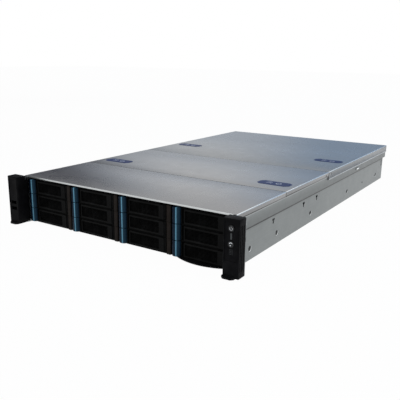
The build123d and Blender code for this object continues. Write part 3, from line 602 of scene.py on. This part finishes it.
def paint(node, material):
    """Gives a CAD node that stays its finished material."""
    mesh = nodes[node].data
    mesh.materials.clear()
    mesh.materials.append(material)
    shade_by_angle(mesh)


def box_into(bm, low, high, bevel=0.0, turn=None):
    """Adds a bevelled box between two corners to a mesh being built."""
    centre = (Vector(low) + Vector(high)) / 2
    size = Vector(high) - Vector(low)
    made = bmesh.ops.create_cube(bm, size=1.0)
    verts = made["verts"]
    bmesh.ops.scale(bm, vec=size, verts=verts)
    if turn:
        bmesh.ops.rotate(bm, cent=(0, 0, 0), matrix=turn, verts=verts)
    bmesh.ops.translate(bm, vec=centre, verts=verts)
    if bevel:
        edges = list({e for v in verts for e in v.link_edges})
        bevel_edges(bm, edges, bevel)


def outline_into(bm, outline, level, axis):
    """Adds the points of an outline at a level along an axis to a mesh being built."""
    points = [list(pair) for pair in outline]
    for point in points:
        point.insert("xyz".index(axis), level)
    return [bm.verts.new(point) for point in points]


def band_into(bm, first, second):
    """Adds a closed band of faces between two loops of as many points."""
    count = len(first)
    for i in range(count):
        j = (i + 1) % count
        bm.faces.new((first[i], second[i], second[j], first[j]))


def prism_into(bm, outline, low, high, axis="z"):
    """Adds an outline of two-number points, extruded along an axis, to a mesh being built."""
    bottom = outline_into(bm, outline, low, axis)
    top = outline_into(bm, outline, high, axis)
    bm.faces.new(bottom)
    bm.faces.new(list(reversed(top)))
    band_into(bm, bottom, top)


def rounded_rectangle(x0, x1, z0, z1, radius, steps=4):
    """The points of a rectangle with round corners."""
    points = []
    corners = ((x1 - radius, z0 + radius, -90), (x1 - radius, z1 - radius, 0),
               (x0 + radius, z1 - radius, 90), (x0 + radius, z0 + radius, 180))
    for cx, cz, start in corners:
        for i in range(steps + 1):
            angle = math.radians(start + 90 * i / steps)
            points.append((cx + radius * math.cos(angle), cz + radius * math.sin(angle)))
    return points


def ring_into(bm, outer, inner, low, high, axis="y"):
    """Adds a closed ring between two outlines of as many points, extruded along an axis."""
    outer_low, outer_high = [outline_into(bm, outer, level, axis) for level in (low, high)]
    inner_low, inner_high = [outline_into(bm, inner, level, axis) for level in (low, high)]
    band_into(bm, inner_low, outer_low)
    band_into(bm, outer_high, inner_high)
    band_into(bm, outer_low, outer_high)
    band_into(bm, inner_high, inner_low)


def disc_outline(x, z, radius, count=20):
    turn = 2 * math.pi / count
    return [(x + radius * math.cos(i * turn), z + radius * math.sin(i * turn)) for i in range(count)]


# Drive bays

def bar_mesh(size):
    """The blue bar: a half-round front, flat sides and softly rounded ends."""
    middle = size.x / 2
    edge = bar_depth_to_edge
    radius = (middle ** 2 + edge ** 2) / (2 * edge)
    reach = math.asin(middle / radius)
    outline = []
    for i in range(bar_arc_points + 1):
        angle = -reach + 2 * reach * i / bar_arc_points
        outline.append((middle + radius * math.sin(angle), radius - radius * math.cos(angle)))
    back = size.y
    outline += [(size.x, back), (0.0, back)]
    bm = bmesh.new()
    prism_into(bm, outline, 0.0, size.z)
    rims = [e for e in bm.edges if abs(e.verts[0].co.z - e.verts[1].co.z) < 1e-7]
    bevel_edges(bm, rims, bar_end_bevel, 3)
    mesh = to_mesh("release_bar", bm, outward=True)
    shade_by_angle(mesh, 40)
    mesh.materials.append(blue)
    return mesh


def lever_mesh(size, plate_low, plate_high):
    """The pull lever: a round-cornered frame with a fine grid, a knuckle and a catch."""
    width = size.x - lever_right_gap
    bm = bmesh.new()
    x0, x1 = lever_frame_left, width - lever_frame_right
    z0, z1 = plate_low + lever_frame, plate_high - lever_frame
    outer = rounded_rectangle(0, width, plate_low, plate_high, lever_round)
    inner = rounded_rectangle(x0, x1, z0, z1, lever_round / 2)
    ring_into(bm, outer, inner, 0, lever_plate)
    rims = [e for e in bm.edges if e.is_manifold and e.calc_face_angle(0) > math.radians(60)]
    bevel_edges(bm, rims, lever_bevel)
    frame_faces = len(bm.faces)
    x0, x1 = x0 - lever_overlap, x1 + lever_overlap
    y0, y1 = lever_mesh_depth, lever_mesh_depth + lever_mesh_thick
    pitch = (z1 - z0) / lever_slats
    for i in range(lever_slats):
        z = z0 + pitch * (i + 0.5)
        box_into(bm, (x0, y0, z - lever_slat / 2), (x1, y1, z + lever_slat / 2), lever_slat_bevel)
    pitch = (x1 - x0) / lever_posts
    half = lever_post / 2
    y0, y1 = y0 + lever_post_back[0], y1 + lever_post_back[1]
    for i in range(1, lever_posts):
        x = x0 + pitch * i
        box_into(bm, (x - half, y0, z0 - lever_overlap), (x + half, y1, z1 + lever_overlap))
    grid_faces = len(bm.faces)
    hinge_y = lever_plate + lever_hinge_behind
    prism_into(bm, disc_outline(width, hinge_y, lever_barrel, round_steps), plate_low, plate_high)
    prism_into(bm, disc_outline(width, hinge_y, lever_pin, 16), 0.0, size.z)
    z0, z1 = plate_low + lever_hook_inset, plate_high - lever_hook_inset
    box_into(bm, (0, lever_plate - 0.1 * mm, z0), (lever_hook, size.y, z1), lever_soft)
    z0, z1 = plate_low + lever_grip_inset, plate_high - lever_grip_inset
    y0, y1 = lever_grip_depths
    box_into(bm, (lever_grip_left, y0, z0), (lever_hook, y1, z1), lever_soft)
    mesh = to_mesh("pull_lever", bm, outward=True)
    shade_by_angle(mesh)
    mesh.materials.append(lever_black)
    # Second slot: the grid, painted darker as shade
    mesh.materials.append(grid_black_painted_shade)
    for polygon in mesh.polygons:
        polygon.material_index = 1 if frame_faces <= polygon.index < grid_faces else 0
    return mesh


def shared(name, mesh, node):
    """One of many pieces that share a mesh, at the place of the CAD node that it replaces."""
    piece = bpy.data.objects.new(name, mesh)
    bpy.context.scene.collection.objects.link(piece)
    piece.matrix_world = Matrix.Translation(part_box(node)[0])
    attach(piece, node)
    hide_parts(node)


def local_copy(mesh, offset):
    """Moves a mesh's own points so that the object's place holds the offset."""
    mesh.transform(Matrix.Translation(-offset))
    return mesh


def build_bays():
    bar_low, bar_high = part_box("release_button_01")
    lever_low, lever_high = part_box("lever_01")
    tray_low, tray_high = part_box("tray_01")
    bars = bar_mesh(bar_high - bar_low)
    lever_size = lever_high - lever_low
    levers = lever_mesh(lever_size, lever_inset, lever_size.z - lever_inset)
    trays = local_copy(dressed_mesh("tray_01", plastic_edge), tray_low)
    trays.materials.clear()
    trays.materials.append(bezel_black)
    trays.materials.append(band_brown)
    band_left = tray_high.x - tray_low.x - band_width
    for polygon in trays.polygons:
        on_band = polygon.center.x > band_left and polygon.center.y < band_depth
        polygon.material_index = 1 if on_band else 0
    for number in range(1, 13):
        tag = "%02d" % number
        shared("bar_" + tag, bars, "release_button_" + tag)
        shared("pull_" + tag, levers, "lever_" + tag)
        shared("carrier_" + tag, trays, "tray_" + tag)


# Covers

def pad_points(x, y):
    half = pad_length / 2
    taper = (pad_width - pad_end_width) / 2
    wide = pad_width / 2
    narrow = pad_end_width / 2
    return [
        (x - half, y - narrow), (x - half + taper, y - wide),
        (x + half - taper, y - wide), (x + half, y - narrow),
        (x + half, y + narrow), (x + half - taper, y + wide),
        (x - half + taper, y + wide), (x - half, y + narrow),
    ]


def build_pads():
    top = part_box("rear_cover")[1].z - pad_proud
    for cover, y in pad_ys.items():
        for side, x in (("left", -pad_x), ("right", pad_x)):
            bm = bmesh.new()
            prism_into(bm, pad_points(x, y), top - pad_sunk, top + pad_proud)
            rims = [e for e in bm.edges if all(v.co.z > top for v in e.verts)]
            bevel_edges(bm, rims, pad_bevel)
            name = cover.split("_")[0] + "_pad_" + side
            finish_piece(name, bm, pad_blue, cover)
            bm = bmesh.new()
            z0, z1 = top + pad_proud - pad_mark_sink, top + pad_proud + pad_mark_lift
            build_pad_mark(bm, x, y, z0, z1)
            finish_piece(name + "_mark", bm, pad_mark, cover)


def build_pad_mark(bm, x, y, z0, z1):
    """A plain touch sign: a ring, and two chevrons that point to the rear."""
    outer, inner = [disc_outline(x + pad_ring_right, y, r, round_steps) for r in pad_ring_radii]
    ring_into(bm, outer, inner, z0, z1, "z")
    left, middle, right = x - chevron_left - chevron_arm, x - chevron_left, x - chevron_left + chevron_arm
    for step in (0, 1):
        low = y - chevron_front + step * chevron_step
        peak = low + chevron_rise
        outline = [
            (left, low), (middle, peak), (right, low),
            (right, low + chevron_line), (middle, peak + chevron_line), (left, low + chevron_line),
        ]
        prism_into(bm, outline, z0, z1)


def build_covers():
    """The three covers, with painted highlight on their bends and on the front lip of the first, and painted
    shade on the front edges of the others at the seams.
    """
    for node, material in covers.items():
        cover = dress(node, cover_edge, material)
        for edge_material in (painted_highlight_lip, painted_shade_sheet, painted_highlight_sheet):
            cover.data.materials.append(edge_material)
        front = min(v.co.y for v in cover.data.vertices)
        for polygon in cover.data.polygons:
            # Painted highlight on the first cover's front lip and on the bends; painted shade on the other
            # covers' front edges at the seams
            bend = polygon.normal.z > 0.2 and abs(polygon.normal.x) > 0.2
            if polygon.normal.y < -0.3 and polygon.center.y < front + edge_reach:
                polygon.material_index = 1 if node == "front_top_cover" else 2
            elif bend and abs(polygon.center.x) > cover_half - edge_reach:
                polygon.material_index = 3
    build_pads()


# Body

def build_side_details():
    """On each side, painted highlight crescents about the holes, the holes' dimples, a rivet and the rear
    slot painted dark as shade, and a pressed tab painted bright as a highlight.
    """
    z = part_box("chassis_base")[0].z + hole_height
    for name, side in (("left", -1), ("right", 1)):
        bm = bmesh.new()
        x0, x1 = sorted((side * (rail_half - rim_sink), side * (rail_half + rim_proud)))
        for y in hole_ys:
            prism_into(bm, crescent(y, z), x0, x1, "x")
        # Painted highlight crescents on the hole rims
        finish_piece("side_painted_highlight_rims_" + name, bm, painted_highlight_sheet, "chassis")
        bm = bmesh.new()
        x1 = side * (rail_half + rim_proud / 2)
        x0 = side * (rail_half - collar_sink)
        for y in hole_ys:
            dimple, hole = [disc_outline(y, z, r, round_steps) for r in (dimple_radius, hole_radius)]
            collar_into(bm, dimple, hole, x1, x0)
        rivet, crown = [disc_outline(rivet_y, z, r, round_steps) for r in (rivet_radius, rivet_radius / 2)]
        bm.faces.new(collar_into(bm, rivet, crown, x0, side * (rail_half + rivet_proud)))
        slot_z = top - side_step - slot_drop
        outer, inner = [
            rounded_rectangle(slot_y - w / 2, slot_y + w / 2, slot_z - h / 2, slot_z + h / 2, slot_corner)
            for w, h in (slot_rim, slot_size)
        ]
        collar_into(bm, outer, inner, x1, x0)
        # Dimples, rivet and slot rim painted dark as shade
        finish_piece("side_dimples_painted_shade_" + name, bm, painted_shade_sheet, "chassis")
        bm = bmesh.new()
        x0, x1 = sorted((side * (cover_half - rim_sink), side * (cover_half + rim_proud)))
        length, height = tab_face
        low = top - tab_drop - height / 2
        box_into(bm, (x0, tab_y - length / 2, low), (x1, tab_y + length / 2, low + height), tab_bevel)
        # The tab painted bright as a highlight
        finish_piece("side_tab_painted_highlight_" + name, bm, painted_highlight_sheet, "chassis")


def collar_into(bm, outer, inner, x_outer, x_inner):
    """Adds a band of faces between two outlines at two distances from the middle."""
    rim = outline_into(bm, outer, x_outer, "x")
    edge = outline_into(bm, inner, x_inner, "x")
    band_into(bm, edge, rim)
    return edge


def crescent(y, z):
    """A painted highlight crescent about a hole's edge, widest in its middle, as y and z points."""
    outer = []
    inner = []
    for i in range(rim_steps + 1):
        share = i / rim_steps
        angle = math.radians(rim_turns[0] + (rim_turns[1] - rim_turns[0]) * share)
        radius = rim_radius - rim_width * math.sin(math.pi * share) - rim_sink
        outer.append((y + rim_radius * math.cos(angle), z + rim_radius * math.sin(angle)))
        inner.append((y + radius * math.cos(angle), z + radius * math.sin(angle)))
    return outer + inner[::-1]


def build_body():
    paint("chassis_base", side_zinc)
    paint("rear_panel", zinc)
    build_side_details()
    # The cage takes the sheet painted dark as shade
    paint("drive_cage", cage_zinc_painted_shade)
    paint("fan_wall", zinc)
    paint("fan_frames", black)
    paint("backplane", board_green)
    paint("motherboard", board_parts)
    for number in range(1, 5):
        paint("fan_rotor_%d" % number, black)
    for number in (1, 2):
        dress("psu_%d" % number, sheet_edge, psu_metal)
        dress("psu_latch_%d" % number, sheet_edge, latch_blue)
    dress("screws", sheet_edge, screw_metal)


# Ears

def build_ears():
    for node in ("left_ear", "right_ear"):
        dress(node, plastic_edge, black)
    for node in ("power_button", "uid_button"):
        dress(node, plastic_edge, button_grey)
    dress("info_tag", sheet_edge, black)
    build_ear_marks()


def flat_ring(name, x, z, y, body, arc, material):
    """A thin raised ring, or a part of one, on a surface that faces the front."""
    bm = bmesh.new()
    outer, inner = button_mark_radius, button_mark_radius - button_mark_line
    steps = 20
    angles = [math.radians(arc[0] + (arc[1] - arc[0]) * i / steps) for i in range(steps + 1)]
    loops = []
    for r, depth in ((outer, 0), (inner, 0), (inner, 1), (outer, 1)):
        level = y + depth * button_mark_depth
        loops.append([bm.verts.new((x + r * math.cos(a), level, z + r * math.sin(a))) for a in angles])
    for i in range(steps):
        for first, second in ((0, 1), (1, 2), (2, 3), (3, 0)):
            a, b = loops[first], loops[second]
            bm.faces.new((a[i], a[i + 1], b[i + 1], b[i]))
    for end in (0, steps):
        bm.faces.new([loop[end] for loop in loops])
    bmesh.ops.remove_doubles(bm, verts=bm.verts, dist=1e-7)
    return finish_piece(name, bm, material, body)


def front_tile(name, x, z, y, width, height, material, body):
    """A thin bevelled tile on a surface that faces the front."""
    bm = bmesh.new()
    low = (x - width / 2, y, z - height / 2)
    box_into(bm, low, (x + width / 2, y + tile_depth, z + height / 2), tile_bevel)
    return finish_piece(name, bm, material, body)


def build_ear_marks():
    """A plain power mark on the upper button, a painted highlight arc and glint dot on the lower button, the
    lamp window between them, and a field of dots below.
    """
    power_low, power_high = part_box("power_button")
    uid_low, uid_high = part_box("uid_button")
    x = (power_low.x + power_high.x) / 2
    upper = (power_low.z + power_high.z) / 2
    lower = (uid_low.z + uid_high.z) / 2
    front = power_low.y - button_mark_proud
    flat_ring("power_mark_ring", x, upper, front, "power_button", power_arc, mark_grey)
    front_tile(
        "power_mark_bar", x, upper + power_bar_rise, front, button_mark_line, power_bar_length, mark_grey,
        "power_button"
    )
    # Painted highlight: a white arc and glint dot on the lower button
    flat_ring("uid_painted_highlight_arc", x, lower, front, "uid_button", uid_highlight_arc, painted_highlight_white)
    front_tile(
        "uid_painted_glint_dot", x - glint_dot_left, lower - glint_dot_drop, front, glint_dot, glint_dot,
        painted_highlight_white, "uid_button"
    )
    face = power_low.y + face_behind_buttons
    middle = (upper + lower) / 2
    front_tile(
        "ear_lamp_window", x, middle, face, lamp_width, lamp_height, lamp_grey, "chassis"
    )
    for row in range(dot_rows):
        for column in range(dot_columns):
            dot_x = x + (column - 1) * dot_pitch
            dot_z = lower - dots_drop - row * dot_pitch
            name = "ear_dot_%d_%d" % (row, column)
            front_tile(name, dot_x, dot_z, face, dot_size, dot_size, lamp_grey, "chassis")


# Stage

def seen_rays(tree):
    """1 for rays from the camera, reflected by metal or passed through glass, and otherwise 0."""
    light_path = tree.nodes.new("ShaderNodeLightPath")
    seen = tree.nodes.new("ShaderNodeMath")
    seen.operation = "MAXIMUM"
    tree.links.new(light_path.outputs["Is Camera Ray"], seen.inputs[0])
    tree.links.new(light_path.outputs["Is Glossy Ray"], seen.inputs[1])
    both = tree.nodes.new("ShaderNodeMath")
    both.operation = "MAXIMUM"
    tree.links.new(seen.outputs["Value"], both.inputs[0])
    tree.links.new(light_path.outputs["Is Transmission Ray"], both.inputs[1])
    return both.outputs["Value"]


def build_stage():
    """A pale floor, lit as plain white to the camera, that keeps a soft shadow."""
    bm = bmesh.new()
    reach = floor_reach
    z = cad_low.z - floor_below
    corners = [(-reach, -reach, z), (reach, -reach, z), (reach, reach, z), (-reach, reach, z)]
    bm.faces.new([bm.verts.new(c) for c in corners])
    mesh = to_mesh("floor", bm)
    floor = bpy.data.objects.new("floor", mesh)
    bpy.context.scene.collection.objects.link(floor)
    material = bpy.data.materials.new("floor_white")
    material.use_nodes = True
    tree = material.node_tree
    tree.nodes.clear()
    output = tree.nodes.new("ShaderNodeOutputMaterial")
    mix = tree.nodes.new("ShaderNodeMixShader")
    diffuse = tree.nodes.new("ShaderNodeBsdfDiffuse")
    diffuse.inputs["Color"].default_value = (0.9, 0.9, 0.9, 1)
    glow = tree.nodes.new("ShaderNodeEmission")
    glow.inputs["Color"].default_value = (1, 1, 1, 1)
    glow.inputs["Strength"].default_value = 1.0
    tree.links.new(diffuse.outputs["BSDF"], mix.inputs[1])
    tree.links.new(glow.outputs["Emission"], mix.inputs[2])
    share = tree.nodes.new("ShaderNodeMath")
    share.operation = "MULTIPLY"
    share.inputs[1].default_value = floor_white_share
    tree.links.new(seen_rays(tree), share.inputs[0])
    tree.links.new(share.outputs["Value"], mix.inputs["Fac"])
    tree.links.new(mix.outputs["Shader"], output.inputs["Surface"])
    mesh.materials.append(material)


def build_world():
    """White to the camera and in reflections, and a low even light on matt surfaces."""
    world = bpy.data.worlds.new("studio")
    bpy.context.scene.world = world
    world.use_nodes = True
    tree = world.node_tree
    tree.nodes.clear()
    output = tree.nodes.new("ShaderNodeOutputWorld")
    mix = tree.nodes.new("ShaderNodeMixShader")
    ambient = tree.nodes.new("ShaderNodeBackground")
    ambient.inputs["Color"].default_value = (0.9, 0.95, 1.0, 1)
    ambient.inputs["Strength"].default_value = world_ambient
    white = tree.nodes.new("ShaderNodeBackground")
    white.inputs["Color"].default_value = (1, 1, 1, 1)
    white.inputs["Strength"].default_value = 1.0
    tree.links.new(seen_rays(tree), mix.inputs["Fac"])
    tree.links.new(ambient.outputs["Background"], mix.inputs[1])
    tree.links.new(white.outputs["Background"], mix.inputs[2])
    tree.links.new(mix.outputs["Shader"], output.inputs["Surface"])


def area_light(name, place_at, aim_at, size, power):
    data = bpy.data.lights.new(name, "AREA")
    data.shape = "RECTANGLE"
    data.size, data.size_y = size
    data.energy = power
    lamp = bpy.data.objects.new(name, data)
    bpy.context.scene.collection.objects.link(lamp)
    lamp.location = place_at
    direction = Vector(aim_at) - Vector(place_at)
    lamp.rotation_euler = direction.to_track_quat("-Z", "Y").to_euler()
    lamp.visible_camera = False


def build_lights():
    for name, values in lamps.items():
        area_light(name, *values)
    build_flag()


def flag_cloth():
    """A cloth that is dark to the left and a thin blue-grey veil to the right and low down."""
    material = bpy.data.materials.new("flag_cloth")
    material.use_nodes = True
    tree = material.node_tree
    tree.nodes.clear()

    def math_node(operation, first, second=None):
        node = tree.nodes.new("ShaderNodeMath")
        node.operation = operation
        for slot, value in enumerate((first, second)):
            if isinstance(value, bpy.types.NodeSocket):
                tree.links.new(value, node.inputs[slot])
            elif value is not None:
                node.inputs[slot].default_value = value
        return node.outputs["Value"]

    def smooth(value, low, high):
        node = tree.nodes.new("ShaderNodeMapRange")
        node.interpolation_type = "SMOOTHSTEP"
        node.inputs["From Min"].default_value = low
        node.inputs["From Max"].default_value = high
        tree.links.new(value, node.inputs["Value"])
        return node.outputs["Result"]

    coordinates = tree.nodes.new("ShaderNodeTexCoord")
    split = tree.nodes.new("ShaderNodeSeparateXYZ")
    tree.links.new(coordinates.outputs["Object"], split.inputs["Vector"])
    turn = math_node("ARCTAN2", math_node("MULTIPLY", split.outputs["X"], -1.0), split.outputs["Y"])
    left = smooth(turn, math.radians(flag_turns[0]), math.radians(flag_turns[1]))
    rise = smooth(split.outputs["Z"], flag_rises[0], flag_rises[1])
    low = math_node("MULTIPLY", math_node("SUBTRACT", 1.0, rise), flag_low_share)
    right = smooth(turn, math.radians(veil_turns[0]), math.radians(veil_turns[1]))
    veil = math_node("MAXIMUM", math_node("MULTIPLY", right, veil_share), low)
    share = math_node("MAXIMUM", left, veil)
    color = ramp(material, left, (0.26, 0.40, 0.60), (0.05, 0.055, 0.08), 0.0, 1.0)
    cloth = tree.nodes.new("ShaderNodeEmission")
    tree.links.new(color, cloth.inputs["Color"])
    clear = tree.nodes.new("ShaderNodeBsdfTransparent")
    mix = tree.nodes.new("ShaderNodeMixShader")
    tree.links.new(share, mix.inputs["Fac"])
    tree.links.new(clear.outputs["BSDF"], mix.inputs[1])
    tree.links.new(cloth.outputs["Emission"], mix.inputs[2])
    output = tree.nodes.new("ShaderNodeOutputMaterial")
    tree.links.new(mix.outputs["Shader"], output.inputs["Surface"])
    return material


def build_flag():
    """A curved studio flag behind the object, which only reflections on the covers see."""
    bm = bmesh.new()
    turns = [math.radians(a) for a in range(flag_start, flag_end + 1, 5)]
    line = [(-flag_distance * math.sin(a), flag_distance * math.cos(a)) for a in turns]
    low = outline_into(bm, line, cad_low.z, "z")
    high = outline_into(bm, line, flag_height, "z")
    for i in range(len(turns) - 1):
        bm.faces.new((low[i], low[i + 1], high[i + 1], high[i]))
    mesh = to_mesh("flag", bm)
    mesh.materials.append(flag_cloth())
    flag = bpy.data.objects.new("flag", mesh)
    bpy.context.scene.collection.objects.link(flag)
    flag.visible_camera = False


def build_camera():
    data = bpy.data.cameras.new("photo_camera")
    data.lens = camera_lens
    data.sensor_width = 36.0
    data.clip_end = 50.0
    camera = bpy.data.objects.new("photo_camera", data)
    bpy.context.scene.collection.objects.link(camera)
    right, up, back = Vector(camera_right), Vector(camera_up), -Vector(camera_forward)
    turn = Matrix((right, up, back)).transposed().to_4x4()
    camera.matrix_world = Matrix.Translation(Vector(camera_place) * mm) @ turn
    bpy.context.scene.camera = camera


build_camera()
build_world()
build_lights()
build_stage()
build_bays()
build_covers()
build_body()
build_ears()
bpy.context.scene.view_settings.view_transform = "Standard"
